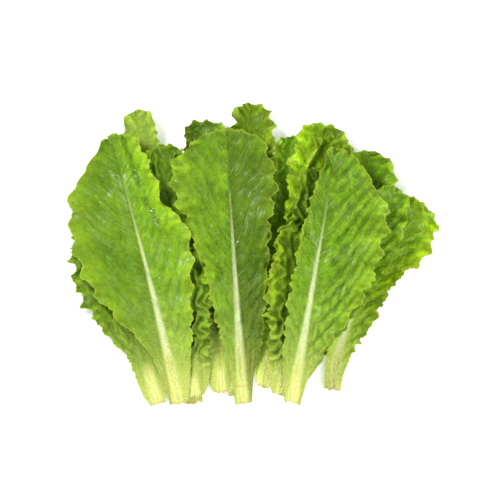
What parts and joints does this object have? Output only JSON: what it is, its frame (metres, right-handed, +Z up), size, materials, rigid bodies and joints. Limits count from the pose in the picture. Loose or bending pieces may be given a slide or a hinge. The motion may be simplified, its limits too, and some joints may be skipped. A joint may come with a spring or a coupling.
{
  "type": "romaine lettuce head",
  "caption": "Romaine lettuce head pulled apart, its long ruffled leaves fanned out and overlapping as they lie on a table, cut ends together, for kitchen and market scenes.",
  "frame": {"origin": "on the table, under the middle of the pile's bounding box", "axes": "+X across the fan to the right, +Y from the cut ends towards the tips, +Z up from the table"},
  "size_m": [0.3158, 0.2602, 0.0663],
  "materials": {
    "leaf_green": "fresh green leaf, waxy satin",
    "leaf_bright": "yellow-green leaf, waxy satin",
    "leaf_pale": "pale green leaf, waxy satin",
    "leaf_dark": "dark green leaf, waxy satin"
  },
  "bodies": {
    "root": {"leaf_back_middle_left": "leaf_dark", "leaf_outer_left": "leaf_dark", "leaf_back_outer_right": "leaf_green", "leaf_back_right": "leaf_dark", "leaf_back_left": "leaf_pale", "leaf_back_middle": "leaf_bright", "leaf_outer_right": "leaf_bright", "leaf_back_right_tall": "leaf_bright", "leaf_middle_right": "leaf_green", "leaf_inner_left": "leaf_green", "leaf_folded_right": "leaf_bright", "leaf_front_middle": "leaf_green", "leaf_inner_right": "leaf_green", "leaf_small_right": "leaf_bright", "leaf_front_left": "leaf_green", "leaf_front_right": "leaf_green"}
  },
  "joints": []
}
